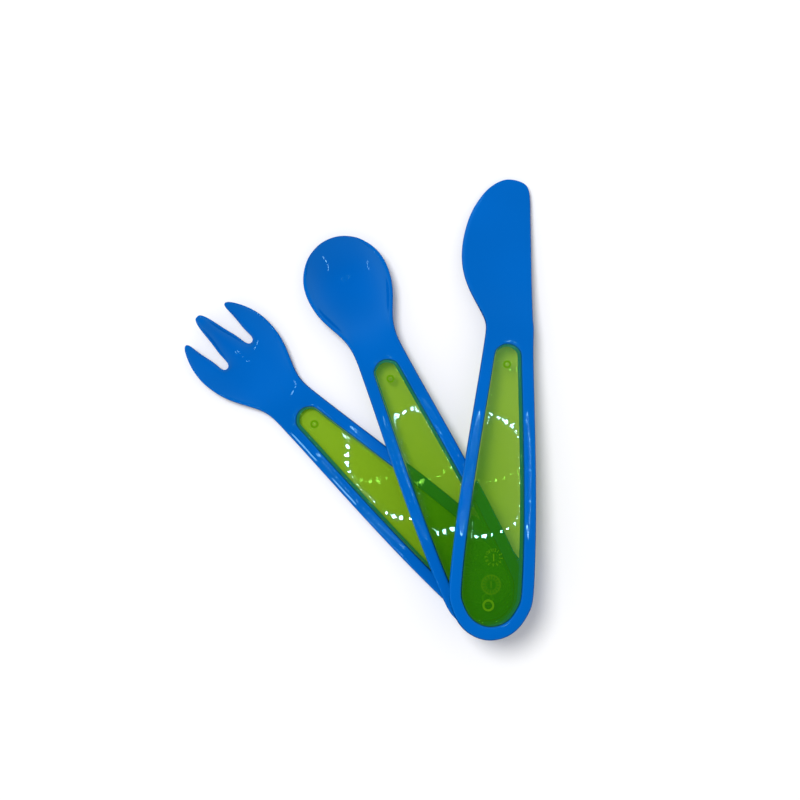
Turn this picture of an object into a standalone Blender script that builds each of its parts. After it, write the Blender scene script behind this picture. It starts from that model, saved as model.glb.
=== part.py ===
"""A child's plastic cutlery pack: a knife, a spoon and a fork, fanned out and stacked on a table.

Each utensil is an opaque moulded body with a window through its handle, and a translucent grip
moulded into that window. A tongue round the window's wall sits in a groove round the grip.
The three handles are the same moulding; the heads differ.

Every utensil is drawn in its own frame, in millimetres: the butt end at y = 0, the head towards
+Y, and the handle's flat underside at z = 0. A flat net of faces is drawn first, by extruding
rows of edges; it is then doubled, shaped and walled into a shell, and smoothed.
"""

import math

import bmesh
import bpy
import numpy as np
from mathutils import Matrix, Vector
from mathutils.bvhtree import BVHTree

MM = 0.001

# The handle, which the three utensils share
HANDLE_LENGTH = 98.3
GRIP_WIDTH = 26.4
NECK_WIDTH = 15.2
BUTT_LENGTH = 15.5
NECK_THICKNESS = 3.9
BUTT_THICKNESS = 5.8
EDGE_ROUND = 1.4

# The window in the handle, the tongue round its wall, and the grip that fills it
RIM_WIDTH = 3.9
BUTT_RIM = 4.3
NECK_BRIDGE = 5.0
TONGUE_WIDTH = 1.2
TONGUE_THICKNESS = 1.1
TONGUE_HEIGHT = 1.3
GRIP_RECESS = 0.2
GRIP_EDGE = 0.5

# The knife's blade: a round belly on the left, a nearly straight spine on the right
BLADE_LENGTH = 48.3
BELLY_REACH = 17.05
BELLY_PLACE = 24.2
SPINE_LENGTH = 39.8
SPINE_REACH = 3.75
TIP_REACH = -2.9
BLADE_THICKNESS = 2.2
BLADE_EASE = 14.0
CUTTING_EDGE = 1.2

# The spoon's bowl
BOWL_LENGTH = 37.4
BOWL_WIDTH = 27.5
BOWL_PLACE = 22.8
BOWL_DEPTH = 5.2
BOWL_WALL = 1.7

# The fork's head and its three tines
FORK_LENGTH = 39.3
FORK_WIDTH = 28.6
FORK_PLACE = 23.1
FORK_DISH = 2.2
FORK_WALL = 1.9
SLOT_START = 21.9
SLOT_INNER = 4.7
SLOT_OUTER = 6.8
MIDDLE_REACH = 36.6
MIDDLE_HALF = 2.05
MIDDLE_TIP_HALF = 1.05
MIDDLE_TIP_DROP = 0.35
TINE_TIP = 35.6
TINE_REACH = 9.4
TINE_HALF = 0.7
TINE_LIFT = 2.0
TINE_LIFT_START = 14.0
TINE_RIM = 0.45
TINE_EDGE_ROUND = 0.5
TINE_EDGE_START = 12.0
TINE_EDGE_EASE = 12.0

# Both dished heads: where the dish starts, how soon the wall thins, and how far the
# deepest place lies beyond the middle of the dish
DISH_START = 3.0
WALL_EASE = 10.0
DISH_SKEW = 1.2

# How far, and which way, each outline's curve reaches before it bends: at its start and its end
SIDE_BENDS = ((0.0, -10.0), (0.0, 30.0))
BELLY_BENDS = ((0.0, 5.3), (0.0, -12.6))
NOSE_BENDS = ((0.0, 12.8), (-7.8, 0.0))
CORNER_BENDS = ((5.2, 0.0), (-0.2, 5.6))
SPINE_BENDS = ((-0.9, 5.0), (1.1, -12.8))
BOWL_BENDS = ((0.0, 8.8), (0.0, -10.8))
FORK_BENDS = ((0.0, 7.0), (0.0, -11.4))
TINE_BENDS = ((0.0, 4.2), (2.7, -3.6))

# Fits
CLEARANCE = 0.3
REST_GAP = 0.3

# The fan: the point of each handle that the fan turns about, where it lies, and its turn
PIVOT = 13.0
KNIFE_PIVOT = (28.2, -62.2)
KNIFE_TURN = -4.5
SPOON_PIVOT = (27.2, -60.9)
SPOON_TURN = 24.1
FORK_PIVOT = (27.1, -57.9)
FORK_TURN = 47.4
STEEPEST = 20.0
HALVINGS = 14

# How the smooth surfaces are divided. The window's points lie beside the handle's: its round top
# takes ROUND_STEPS of a quarter turn, and its sides start SIDE_SLIDE of a step further up.
NECK_COLUMNS = 3
SIDE_COLUMNS = 7
BUTT_COLUMNS = 4
ROUND_STEPS = NECK_COLUMNS + 0.75
SIDE_SLIDE = 0.6
CURVE_SAMPLES = 41
SMOOTHING = 1
EVEN = [k / NECK_COLUMNS for k in range(-NECK_COLUMNS, NECK_COLUMNS + 1)]
BOWL_SHOULDER = 23
BOWL_END = (45, 60, 75, 90, 75, 60, 45)

# The two plastics
BLUE = (0.0, 0.146, 0.565)
BLUE_ROUGHNESS = 0.2
GREEN = (0.2, 0.42, 0.02)
GREEN_ROUGHNESS = 0.15
GREEN_TRANSMISSION = 0.6


def curve(start, end, bends):
    """A cubic Bezier curve from its two ends and how it leaves each of them."""
    start, end = np.array(start, float), np.array(end, float)
    return start, start + bends[0], end + bends[1], end


def along(bezier, t):
    """The point of a curve at t, from 0 to 1."""
    p0, p1, p2, p3 = bezier
    s = 1 - t
    return s**3 * p0 + 3 * s * s * t * p1 + 3 * s * t * t * p2 + t**3 * p3


def heading(bezier, t):
    """The direction of a curve at t."""
    p0, p1, p2, p3 = bezier
    s = 1 - t
    slope = s * s * (p1 - p0) + 2 * s * t * (p2 - p1) + t * t * (p3 - p2)
    return slope / np.linalg.norm(slope)


def at_station(bezier, y):
    """The point where a curve that runs along the utensil crosses the station y."""
    points = sorted((along(bezier, t) for t in np.linspace(0, 1, CURVE_SAMPLES)), key=lambda p: p[1])
    return np.array((np.interp(y, [p[1] for p in points], [p[0] for p in points]), y))


def ease(value):
    """A smooth step from 0 to 1."""
    value = min(max(value, 0.0), 1.0)
    return value * value * (3 - 2 * value)


def quarter(wide, end, degrees):
    """A point of a quarter oval, from its widest place, 0 degrees, to its end on the middle line."""
    turn = math.radians(degrees)
    return np.array((wide[0] * math.cos(turn), wide[1] + (end - wide[1]) * math.sin(turn)))


def mirrored(half):
    """A closed loop from its right half, which starts and ends on the middle line."""
    return list(half) + [point * (-1, 1) for point in half[-2:0:-1]]


def spread(left, right, shares):
    """A row of points from the left edge, share -1, to the right edge, share 1."""
    return [left + (right - left) * (share + 1) / 2 for share in shares]


def handle_side():
    """The handle's right edge, from the neck to its widest place."""
    return curve((NECK_WIDTH / 2, HANDLE_LENGTH), (GRIP_WIDTH / 2, BUTT_LENGTH), SIDE_BENDS)


def handle_loop():
    """The handle's outline, from the middle of the neck down its right side and round."""
    neck = [np.array((NECK_WIDTH / 2 * share, HANDLE_LENGTH)) for share in EVEN[NECK_COLUMNS:]]
    side = [along(handle_side(), k / SIDE_COLUMNS) for k in range(1, SIDE_COLUMNS + 1)]
    wide = (GRIP_WIDTH / 2, BUTT_LENGTH)
    butt = [quarter(wide, 0, 90 * k / BUTT_COLUMNS) for k in range(1, BUTT_COLUMNS + 1)]
    return mirrored(neck + side + butt)


def window_side(t):
    """A point of the window's right edge, one rim inside the handle's edge."""
    direction = heading(handle_side(), t)
    return along(handle_side(), t) + RIM_WIDTH * np.array((direction[1], -direction[0]))


def window_loop():
    """The window's outline, point for point beside the handle's."""
    steps = np.linspace(0, 1, CURVE_SAMPLES)
    ends = [-sum(window_side(t)) for t in steps]
    start = float(np.interp(NECK_BRIDGE - HANDLE_LENGTH, ends, steps))
    radius, centre = window_side(start)
    turns = [90 * (1 - k / ROUND_STEPS) for k in range(NECK_COLUMNS + 1)]
    top = [quarter((radius, centre), centre + radius, turn) for turn in turns]
    shares = [(k - SIDE_SLIDE) / (SIDE_COLUMNS - SIDE_SLIDE) for k in range(1, SIDE_COLUMNS + 1)]
    side = [window_side(start + (1 - start) * share) for share in shares]
    wide = (GRIP_WIDTH / 2 - RIM_WIDTH, BUTT_LENGTH)
    butt = [quarter(wide, BUTT_RIM, 90 * k / BUTT_COLUMNS) for k in range(1, BUTT_COLUMNS + 1)]
    return mirrored(top + side + butt)


def through(loop):
    """Control points whose smoothed closed curve passes through the loop's points."""
    count = len(loop)
    weights = np.zeros((count, count))
    for k in range(count):
        weights[k, k] = 4 / 6
        weights[k, (k + 1) % count] = 1 / 6
        weights[k, k - 1] = 1 / 6
    return list(np.linalg.solve(weights, np.array(loop)))


def inwards(loop, distance):
    """A loop's points moved towards its own middle."""
    pairs = [(loop[k - 1], point) for k, point in enumerate(loop)]
    area = sum(before[0] * point[1] - point[0] * before[1] for before, point in pairs)
    side = -distance if area > 0 else distance
    moved = []
    for k, point in enumerate(loop):
        step = loop[(k + 1) % len(loop)] - loop[k - 1]
        moved.append(point + side * np.array((step[1], -step[0])) / np.linalg.norm(step))
    return moved


def handle_thickness(y):
    """The handle is a slight wedge, thickest at the butt."""
    share = min(max(y / HANDLE_LENGTH, 0.0), 1.0)
    return BUTT_THICKNESS + (NECK_THICKNESS - BUTT_THICKNESS) * share


def flat_ring(net, loop):
    """A closed ring of edges through the loop's points; its first vertex ends the list too."""
    ring = bmesh.ops.create_circle(net, segments=len(loop), radius=1.0)["verts"]
    for vertex, point in zip(ring, loop):
        vertex.co.xy = point
    return ring + ring[:1]


def extruded(net, row, points):
    """Extrude the edges along a row of vertices, and move the new row to the points."""
    edges = [net.edges.get(pair) for pair in zip(row, row[1:])]
    made = set(bmesh.ops.extrude_edge_only(net, edges=edges)["geom"])
    following = []
    for vertex, point in zip(row, points):
        others = [edge.other_vert(vertex) for edge in vertex.link_edges]
        following.append(next(other for other in others if other in made))
        following[-1].co = (*point, 0.0) if len(point) == 2 else point
    return following


def handle_net():
    """A flat net of the handle's rim, and its vertices across the neck."""
    net = bmesh.new()
    ring = flat_ring(net, handle_loop())
    inner = window_loop()
    extruded(net, ring, inner + inner[:1])
    return net, ring[-NECK_COLUMNS - 1 : -1] + ring[: NECK_COLUMNS + 1]


def knife_rows():
    """Rows of points across the blade, and one round its end."""
    base = HANDLE_LENGTH
    wide = (-BELLY_REACH, base + BELLY_PLACE)
    tip = (TIP_REACH, base + BLADE_LENGTH)
    back = (SPINE_REACH, base + SPINE_LENGTH)
    belly = curve((-NECK_WIDTH / 2, base), wide, BELLY_BENDS)
    nose = curve(wide, tip, NOSE_BENDS)
    corner = curve(tip, back, CORNER_BENDS)
    spine = curve((NECK_WIDTH / 2, base), back, SPINE_BENDS)
    left = [along(belly, k / 5) for k in range(1, 6)] + [along(nose, k / 5) for k in (1, 2)]
    rows = []
    for k, point in enumerate(left, 1):
        level = min(point[1], base + SPINE_LENGTH * k / (len(left) + 1))
        rows.append(spread(point, at_station(spine, level), EVEN))
    end = [along(nose, k / 15) for k in (9, 11, 13, 15)] + [along(corner, k / 3) for k in (1, 2, 3)]
    return rows + [end]


def spoon_rows():
    """Rows of points across the bowl, and one round its end."""
    wide = (BOWL_WIDTH / 2, HANDLE_LENGTH + BOWL_PLACE)
    tip = HANDLE_LENGTH + BOWL_LENGTH
    side = curve((NECK_WIDTH / 2, HANDLE_LENGTH), wide, BOWL_BENDS)
    edge = [along(side, k / 5) for k in range(1, 6)] + [quarter(wide, tip, BOWL_SHOULDER)]
    rows = [spread(point * (-1, 1), point, EVEN) for point in edge]
    end = [quarter(wide, tip, turn) for turn in BOWL_END]
    return rows + [[point * (-1, 1) for point in end[:NECK_COLUMNS]] + end[NECK_COLUMNS:]]


def fork_rows():
    """Rows of points across the fork's head, as far as the ends of its two slots."""
    wide = (FORK_WIDTH / 2, HANDLE_LENGTH + FORK_PLACE)
    side = curve((NECK_WIDTH / 2, HANDLE_LENGTH), wide, FORK_BENDS)
    rows = []
    for progress in (0.2, 0.4, 0.6, 0.8, 1.0):
        edge = at_station(side, HANDLE_LENGTH + SLOT_START * progress)
        inner = 1 / 3 + (SLOT_INNER / edge[0] - 1 / 3) * progress
        outer = 2 / 3 + (SLOT_OUTER / edge[0] - 2 / 3) * progress
        rows.append(spread(edge * (-1, 1), edge, (-1, -outer, -inner, 0, inner, outer, 1)))
    return rows


def tine_rows():
    """Rows of points along the left, the middle and the right tine."""
    base = HANDLE_LENGTH
    middle = []
    for share in (0.25, 0.5, 0.75, 1.0):
        half = SLOT_INNER + (MIDDLE_HALF - SLOT_INNER) * share
        level = base + SLOT_START + (MIDDLE_REACH - SLOT_START) * share
        middle.append([np.array((half * side, level)) for side in (-1, 0, 1)])
    tip = base + FORK_LENGTH
    corner = np.array((MIDDLE_TIP_HALF, tip - MIDDLE_TIP_DROP))
    middle.append([corner * (-1, 1), np.array((0.0, tip)), corner])
    wide = (FORK_WIDTH / 2, base + FORK_PLACE)
    outer = curve(wide, (TINE_REACH + TINE_HALF, base + TINE_TIP), TINE_BENDS)
    right = []
    for share in (0.25, 0.5, 0.75, 1.0):
        inner = SLOT_OUTER + (TINE_REACH - TINE_HALF - SLOT_OUTER) * share
        level = base + SLOT_START + (TINE_TIP - SLOT_START) * share
        right.append([np.array((inner, level)), at_station(outer, level)])
    left = [[point * (-1, 1) for point in reversed(row)] for row in right]
    return left, middle, right


def boundary_loops(net):
    """The net's outlines, each as a list of vertices in order."""
    open_edges = [edge for edge in net.edges if edge.is_boundary]
    loops = []
    while open_edges:
        start, vertex = open_edges.pop(0).verts
        loop = [start]
        while vertex is not start:
            loop.append(vertex)
            edge = next(item for item in open_edges if vertex in item.verts)
            open_edges.remove(edge)
            vertex = edge.other_vert(vertex)
        loops.append(loop)
    return loops


def settle_outlines(net):
    """Move the outlines' vertices so that the smoothed outlines pass where they were."""
    for loop in boundary_loops(net):
        control = through([np.array(vertex.co.xy) for vertex in loop])
        for vertex, place in zip(loop, control):
            vertex.co.xy = place


def add_edge_row(net, width):
    """A row of faces inside every outline; width(y) is how wide it is at the station y."""
    outline = {vertex for loop in boundary_loops(net) for vertex in loop}
    bmesh.ops.inset_region(
        net, faces=net.faces[:], thickness=TINE_EDGE_ROUND, use_boundary=True, use_even_offset=True
    )
    for vertex in outline:
        for edge in vertex.link_edges:
            other = edge.other_vert(vertex)
            if other not in outline:
                step = (other.co - vertex.co) * width(vertex.co.y) / TINE_EDGE_ROUND
                other.co = vertex.co + step


def close_shell(net, heights, wall):
    """Double the flat net into an underside and a top, and join their outlines with walls.

    heights(point, on_edge) gives the underside and the top at a point of the net, and
    wall(flat, lows, highs) the rows of points up a wall, each with whether it is a sharp edge.
    """
    loops = boundary_loops(net)
    on_edge = {vertex for loop in loops for vertex in loop}
    span = {vertex: heights(vertex.co, vertex in on_edge) for vertex in net.verts}
    copied = bmesh.ops.duplicate(net, geom=net.verts[:] + net.edges[:] + net.faces[:])
    upper = copied["vert_map"]
    for vertex, (low, high) in span.items():
        vertex.co.z = low
        upper[vertex].co.z = high
    crease = net.edges.layers.float.new("crease_edge")
    for loop in loops:
        flat = [np.array(vertex.co.xy) for vertex in loop]
        lows, highs = zip(*(span[vertex] for vertex in loop))
        row = loop + loop[:1]
        for points, sharp in wall(flat, lows, highs):
            row = extruded(net, row, points + points[:1])
            for pair in zip(row, row[1:]):
                net.edges.get(pair)[crease] = float(sharp)
        top = [upper[vertex] for vertex in loop]
        last = extruded(net, row, [vertex.co.copy() for vertex in top + top[:1]])
        bmesh.ops.weld_verts(net, targetmap=dict(zip(last, top)))
    bmesh.ops.recalc_face_normals(net, faces=net.faces[:])


def at_height(flat, height):
    """An outline's points lifted to one height."""
    return [(point[0], point[1], height) for point in flat]


def stepped_wall(flat, bottom, top):
    """Sharp rows up a wall that steps in by a tongue's width between two heights."""
    inner = inwards(flat, TONGUE_WIDTH)
    rows = at_height(flat, bottom), at_height(inner, bottom), at_height(inner, top), at_height(flat, top)
    return [(row, True) for row in rows]


def body_wall(flat, lows, highs):
    """The rows up a body's walls: a plain round edge outside, and a tongue in the window."""
    if max(point[1] for point in flat) < HANDLE_LENGTH:
        return stepped_wall(flat, TONGUE_HEIGHT, TONGUE_HEIGHT + TONGUE_THICKNESS)
    return [([(*point, (low + high) / 2) for point, low, high in zip(flat, lows, highs)], False)]


def grip_wall(flat, lows, highs):
    """The rows up a grip's wall, with a groove round the body's tongue."""
    bottom = TONGUE_HEIGHT - CLEARANCE
    return stepped_wall(flat, bottom, bottom + TONGUE_THICKNESS + 2 * CLEARANCE)


def grip_heights(point, on_edge):
    """A grip's underside, flush with the body's, and its top, just below the rim's."""
    return 0.0, handle_thickness(point.y) - GRIP_RECESS


def knife_heights(point, on_edge):
    """The knife's underside and top: the wedge, and then a thin blade at its middle height."""
    thickness = handle_thickness(point.y)
    middle = NECK_THICKNESS / 2
    share = ease((point.y - HANDLE_LENGTH) / BLADE_EASE)
    half = (CUTTING_EDGE if on_edge and point.x < 0 else BLADE_THICKNESS) / 2
    return (middle - half) * share, thickness + (middle + half - thickness) * share


def dish(x, station, half_width, end, depth):
    """How far a dished head lies below its lip."""
    share = (station - DISH_START) / (end - DISH_START)
    if not 0 < share < 1:
        return 0.0
    share = share**DISH_SKEW
    return depth * 4 * share * (1 - share) * (1 - min(abs(x) / half_width, 1.0) ** 2)


def head_wall(station, wall):
    """A dished head's wall, which thins from the neck's."""
    return NECK_THICKNESS + (wall - NECK_THICKNESS) * ease(station / WALL_EASE)


def head_half_width(station, place, width):
    """About half the width of a dished head, inside its round edge, as far as its widest place."""
    inside = width / 2 - EDGE_ROUND
    return NECK_WIDTH / 2 + (inside - NECK_WIDTH / 2) * ease(station / place)


def spoon_heights(point, on_edge):
    """The spoon's underside and top: the wedge, and then a thin-walled bowl."""
    station = point.y - HANDLE_LENGTH
    if station <= 0:
        return 0.0, handle_thickness(point.y)
    wall = head_wall(station, BOWL_WALL)
    half_width = head_half_width(station, BOWL_PLACE, BOWL_WIDTH)
    if station > BOWL_PLACE:
        share = (station - BOWL_PLACE) / (BOWL_LENGTH - BOWL_PLACE)
        half_width = max(half_width * math.sqrt(max(1 - share**2, 0.0)), 1.0)
    depth = 0.0 if on_edge else dish(point.x, station, half_width, BOWL_LENGTH - EDGE_ROUND, BOWL_DEPTH)
    return NECK_THICKNESS - depth - wall, NECK_THICKNESS - depth


def fork_heights(point, on_edge):
    """The fork's underside and top: the wedge, a shallow dish and tines that rise."""
    station = point.y - HANDLE_LENGTH
    if station <= 0:
        return 0.0, handle_thickness(point.y)
    wall = head_wall(station, FORK_WALL)
    lift = TINE_LIFT * ease((station - TINE_LIFT_START) / (FORK_LENGTH - TINE_LIFT_START))
    half_width = head_half_width(station, FORK_PLACE, FORK_WIDTH)
    depth = dish(point.x, station, half_width, TINE_TIP, FORK_DISH)
    in_slot = abs(point.x) < (SLOT_OUTER + TINE_REACH) / 2 and station > SLOT_START - 1
    if on_edge:
        depth = depth - TINE_RIM if in_slot else 0.0
    top = NECK_THICKNESS - depth + lift
    return top - wall, top


def head_edge(y):
    """The width of the round edge of a handle, a bowl or a blade."""
    return EDGE_ROUND


def fork_edge(y):
    """The width of the fork's round edge: full on the handle, small on the tines."""
    share = ease((y - HANDLE_LENGTH - TINE_EDGE_START) / TINE_EDGE_EASE)
    return EDGE_ROUND + (TINE_EDGE_ROUND - EDGE_ROUND) * share


def grip_edge(y):
    """The width of a grip's round edge."""
    return GRIP_EDGE


def plastic(name, colour, roughness, transmission=0.0):
    """A moulded plastic."""
    material = bpy.data.materials.new(name)
    material.use_nodes = True
    shader = material.node_tree.nodes["Principled BSDF"]
    shader.inputs["Base Color"].default_value = (*colour, 1.0)
    shader.inputs["Roughness"].default_value = roughness
    shader.inputs["Metallic"].default_value = 0.0
    shader.inputs["Transmission Weight"].default_value = transmission
    return material


def add_object(name, net, material, pose):
    """Finish a net as a smooth object, in metres, that hangs from its utensil's pose."""
    bmesh.ops.scale(net, vec=(MM, MM, MM), verts=net.verts[:])
    mesh = bpy.data.meshes.new(name)
    net.to_mesh(mesh)
    net.free()
    mesh.shade_smooth()
    mesh.materials.append(material)
    piece = bpy.data.objects.new(name, mesh)
    bpy.context.scene.collection.objects.link(piece)
    smooth = piece.modifiers.new("smooth", "SUBSURF")
    smooth.levels = SMOOTHING
    smooth.render_levels = SMOOTHING
    piece.parent = pose
    return piece


def add_body(name, rows, heights, edge, material, pose, tines=()):
    """One utensil's body: the handle's rim with the head's rows drawn on from the neck."""
    net, row = handle_net()
    for points in rows:
        row = extruded(net, row, points)
    for start, rows_of_tine in zip((row[:2], row[2:5], row[5:]), tines):
        for points in rows_of_tine:
            start = extruded(net, start, points)
    settle_outlines(net)
    add_edge_row(net, edge)
    close_shell(net, heights, body_wall)
    return add_object(name, net, material, pose)


def add_grip(name, material, pose):
    """The translucent piece in a handle's window."""
    net = bmesh.new()
    ring = flat_ring(net, inwards(through(window_loop()), CLEARANCE))
    net.faces.new(ring[:-1])
    add_edge_row(net, grip_edge)
    close_shell(net, grip_heights, grip_wall)
    return add_object(name, net, material, pose)


def add_empty(name):
    """An empty, which a utensil or the whole fan hangs from."""
    empty = bpy.data.objects.new(name, None)
    bpy.context.scene.collection.objects.link(empty)
    return empty


def set_pose(pose, pivot, turn, pitch, height):
    """Lay a utensil out: pitched about its width, turned in the fan, and lifted."""
    turned = Matrix.Rotation(math.radians(turn), 4, "Z") @ Matrix.Rotation(pitch, 4, "X")
    arm = turned @ Vector((0.0, PIVOT * MM, 0.0))
    place = (pivot[0] * MM - arm.x, pivot[1] * MM - arm.y, height)
    pose.matrix_world = Matrix.Translation(place) @ turned
    bpy.context.view_layer.update()


def world_mesh(pieces):
    """The vertices and triangles of some pieces as they lie, smoothed."""
    points = []
    triangles = []
    graph = bpy.context.evaluated_depsgraph_get()
    for piece in pieces:
        shape = piece.evaluated_get(graph)
        mesh = shape.to_mesh()
        mesh.calc_loop_triangles()
        start = len(points)
        points += [shape.matrix_world @ vertex.co for vertex in mesh.vertices]
        for triangle in mesh.loop_triangles:
            triangles.append(tuple(start + corner for corner in triangle.vertices))
        shape.to_mesh_clear()
    return points, triangles


def headroom(upper, lower):
    """The least upright distance from the lower pieces' tops to the upper ones' undersides."""
    upper_points, upper_triangles = world_mesh(upper)
    lower_points, lower_triangles = world_mesh(lower)
    upper_tree = BVHTree.FromPolygons(upper_points, upper_triangles)
    lower_tree = BVHTree.FromPolygons(lower_points, lower_triangles)
    up = Vector((0.0, 0.0, 1.0))
    room = []
    for point in upper_points:
        hit = lower_tree.ray_cast(Vector((point.x, point.y, 1.0)), -up)[0]
        if hit:
            under = upper_tree.ray_cast(Vector((point.x, point.y, -1.0)), up)[0] or point
            room.append(min(under.z, point.z) - hit.z)
    for point in lower_points:
        hit = upper_tree.ray_cast(Vector((point.x, point.y, -1.0)), up)[0]
        if hit:
            over = lower_tree.ray_cast(Vector((point.x, point.y, 1.0)), -up)[0] or point
            room.append(hit.z - max(over.z, point.z))
    return min(room)


def settle(pose, pieces, pivot, turn, pitch):
    """Lay a utensil out at a pitch with its lowest point on the table."""
    set_pose(pose, pivot, turn, -pitch, 0.0)
    set_pose(pose, pivot, turn, -pitch, -min(point.z for point in world_mesh(pieces)[0]))


def lean(pose, pieces, beneath, pivot, turn):
    """Tip a utensil, head on the table, until it just clears the ones beneath it."""
    shallow, steep = 0.0, math.radians(STEEPEST)
    for _ in range(HALVINGS):
        pitch = (shallow + steep) / 2
        settle(pose, pieces, pivot, turn, pitch)
        if headroom(pieces, beneath) > REST_GAP * MM:
            steep = pitch
        else:
            shallow = pitch
    settle(pose, pieces, pivot, turn, steep)


def clear_scene():
    """Remove whatever the scene holds."""
    for item in list(bpy.data.objects):
        bpy.data.objects.remove(item, do_unlink=True)


def build():
    """Model the three utensils and lay them on each other."""
    clear_scene()
    blue = plastic("opaque_blue", BLUE, BLUE_ROUGHNESS)
    green = plastic("translucent_green", GREEN, GREEN_ROUGHNESS, GREEN_TRANSMISSION)
    fan = add_empty("fan")
    fork_pose, spoon_pose, knife_pose = (add_empty(name) for name in ("fork", "spoon", "knife"))
    fork = [
        add_body("fork_body", fork_rows(), fork_heights, fork_edge, blue, fork_pose, tine_rows()),
        add_grip("fork_grip", green, fork_pose),
    ]
    spoon = [
        add_body("spoon_body", spoon_rows(), spoon_heights, head_edge, blue, spoon_pose),
        add_grip("spoon_grip", green, spoon_pose),
    ]
    knife = [
        add_body("knife_body", knife_rows(), knife_heights, head_edge, blue, knife_pose),
        add_grip("knife_grip", green, knife_pose),
    ]
    settle(fork_pose, fork, FORK_PIVOT, FORK_TURN, 0.0)
    lean(spoon_pose, spoon, fork, SPOON_PIVOT, SPOON_TURN)
    lean(knife_pose, knife, fork + spoon, KNIFE_PIVOT, KNIFE_TURN)
    points = world_mesh(fork + spoon + knife)[0]
    for pose in (fork_pose, spoon_pose, knife_pose):
        pose.parent = fan
    fan.location = (
        -(min(p.x for p in points) + max(p.x for p in points)) / 2,
        -(min(p.y for p in points) + max(p.y for p in points)) / 2,
        0.0,
    )


build()
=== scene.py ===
"""The looks of a child's plastic cutlery pack: a knife, a spoon and a fork, fanned and stacked.

Each utensil is a glossy blue moulding with a window through its handle, and a translucent green
grip moulded into that window. Every utensil is drawn in its own frame, with the butt's end at
y = 0, the head towards +Y and the handle's flat underside at z = 0, and then laid in the fan.
A flat net of faces is drawn first, by extruding rows of edges; it is then doubled, shaped and
walled into a shell, and smoothed.
"""

import math

import bmesh
import bpy
import numpy as np
from bpy.props import FloatProperty, FloatVectorProperty, IntProperty, PointerProperty
from bpy.types import Operator, Panel, PropertyGroup
from mathutils import Matrix, Vector


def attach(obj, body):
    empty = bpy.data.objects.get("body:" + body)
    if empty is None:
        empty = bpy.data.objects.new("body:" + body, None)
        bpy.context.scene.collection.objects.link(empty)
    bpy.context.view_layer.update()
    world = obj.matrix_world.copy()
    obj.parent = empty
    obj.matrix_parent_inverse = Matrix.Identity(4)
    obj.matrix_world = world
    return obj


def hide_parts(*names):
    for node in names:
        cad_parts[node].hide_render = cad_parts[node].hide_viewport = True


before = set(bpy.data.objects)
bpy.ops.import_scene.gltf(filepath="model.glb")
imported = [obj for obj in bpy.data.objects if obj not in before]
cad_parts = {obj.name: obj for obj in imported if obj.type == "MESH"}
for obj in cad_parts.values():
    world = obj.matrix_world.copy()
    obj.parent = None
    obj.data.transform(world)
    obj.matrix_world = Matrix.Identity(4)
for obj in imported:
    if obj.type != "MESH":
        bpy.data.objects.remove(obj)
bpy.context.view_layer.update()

bl_info = {
    "name": "Child's cutlery pack",
    "version": (1, 0, 0),
    "blender": (4, 5, 0),
    "location": "3D View > Sidebar > Cutlery",
    "description": "A fanned set of child's plastic cutlery, and the studio that shows it",
    "category": "Add Mesh",
}

MM = 0.001
UTENSILS = ("knife", "spoon", "fork")

# How far, and which way, each outline's curve reaches before it bends, in millimetres:
# at its start and at its end
SIDE_BENDS = ((0.0, -10.0), (0.0, 30.0))
BELLY_BENDS = ((0.0, 5.3), (0.0, -12.6))
NOSE_BENDS = ((0.0, 12.8), (-7.8, 0.0))
CORNER_BENDS = ((5.2, 0.0), (-0.2, 5.6))
SPINE_BENDS = ((-0.9, 5.0), (1.1, -12.8))
BOWL_BENDS = ((0.0, 8.8), (0.0, -10.8))
FORK_BENDS = ((0.0, 7.0), (0.0, -11.4))
TINE_BENDS = ((0.0, 4.2), (2.7, -3.6))

# How the handle's net is divided. The window's points lie beside the handle's: a quarter turn
# of its round top is ROUND_STEPS steps, and its sides start SIDE_SLIDE of a step further up.
NECK_COLUMNS = 3
SIDE_COLUMNS = 7
BUTT_COLUMNS = 4
ROUND_STEPS = NECK_COLUMNS + 0.75
SIDE_SLIDE = 0.6
CURVE_SAMPLES = 41

# How the heads' nets are divided: rows from the neck to a head's widest place or to its slots,
# and along a tine, and even shares across a row, from the left edge, -1, to the right edge, 1
HEAD_ROWS = 5
TINE_ROWS = 4
EVEN = [k / NECK_COLUMNS for k in range(-NECK_COLUMNS, NECK_COLUMNS + 1)]

# Where along the blade's nose its last two rows start, and where its end row has its points
NOSE_ROWS = (3 / 15, 6 / 15)
NOSE_END = (9 / 15, 11 / 15, 13 / 15, 1)

# Where round the bowl's end, in degrees from its widest place, its last full row starts, and
# where its end row has its points
BOWL_SHOULDER = 23
BOWL_END = (45, 60, 75, 90, 75, 60, 45)

# Above 1, a dished head is deepest beyond the middle of its dish
DISH_SKEW = 1.2

# The date dials: their divisions, how far their arrows are turned, in radians, and the year
# dial's strokes as shares of its radius, first how far out their middle is, then their length
MONTHS = 12
YEAR_STROKES = 16
ARROW_TURN = 0.1
STROKE_PLACE = 0.72
STROKE_LENGTH = 0.4

# A font's size for numbers of height 1, and how many points a mark's ring has
FONT_SIZE = 1.4
RING_POINTS = 40

# The clouds in the blue pigment and in the polish, in millimetres across. The blue changes
# between two strengths of its cloud, and the polish leaves from least to most roughness.
PIGMENT_CLOUD = 28
PIGMENT_CHANGE = (0.3, 0.6)
POLISH_CLOUD = 6
POLISH_ROUGHNESS = (0.008, 0.014)

# Where the mirrored tent changes, as shares of the way from straight below to straight above:
# the horizon, and its pale wall's foot and top, above which it darkens
TENT_LEVELS = (0.5, 0.52, 0.62)

# Each arc of lamps: its utensil and side, where it starts in degrees, and its scale
LAMP_ARCS = (
    ("spoon", "right", 90, 1.0),
    ("spoon", "left", 0, 1.0),
    ("fork", "root", 0, 1.0),
    ("fork", "neck", 0, 0.5),
)


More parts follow.
